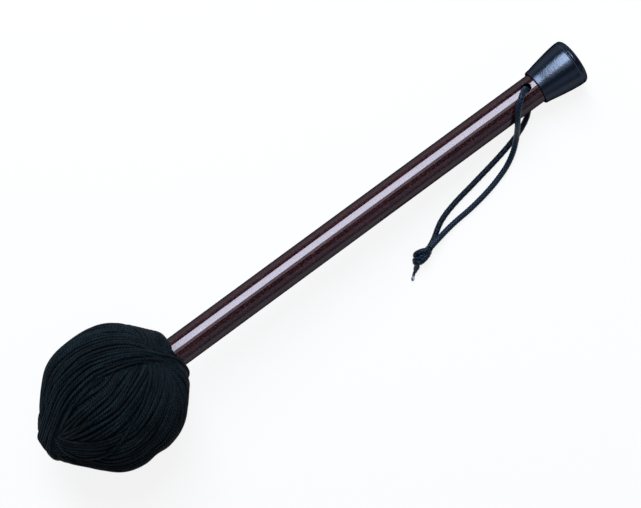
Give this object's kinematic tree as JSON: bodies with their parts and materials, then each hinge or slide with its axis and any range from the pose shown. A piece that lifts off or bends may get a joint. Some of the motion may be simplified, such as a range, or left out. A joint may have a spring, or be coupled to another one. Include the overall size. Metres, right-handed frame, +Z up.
{
  "type": "gong mallet",
  "caption": "Gong beater: a soft lemon-shaped head wound with dark yarn on a lacquered wooden dowel, with a rubber tip and a knotted wrist cord.",
  "frame": {"origin": "on the ground, under the middle of the mallet's own box, without its cord", "axes": "+X along the dowel from the head to the rubber tip, +Z up, as the mallet lies on its head and its tip"},
  "size_m": [0.3894, 0.0939, 0.0863],
  "materials": {
    "yarn": "wound yarn, matt with a faint sheen along the strands",
    "felt": "dense grey wool felt",
    "core_wood": "turned hardwood, bare",
    "lacquered_wood": "red-brown stain under clear gloss lacquer",
    "tip_rubber": "moulded rubber, satin",
    "steel": "zinc-plated steel",
    "cord_nylon": "twisted and braided nylon"
  },
  "bodies": {
    "root": {"yarn_winding": "yarn", "yarn_under_layers": "yarn", "felt_padding": "felt", "head_core": "core_wood", "retaining_washer": "steel", "retaining_screw": "steel", "shaft": "lacquered_wood", "end_cap": "tip_rubber", "cap_washer": "steel", "wrist_cord_hole_run": "cord_nylon", "wrist_cord_upper_leg": "cord_nylon", "wrist_cord_lower_leg": "cord_nylon", "wrist_cord_knot": "cord_nylon", "wrist_cord_long_tail": "cord_nylon", "wrist_cord_short_tail": "cord_nylon"}
  },
  "joints": []
}
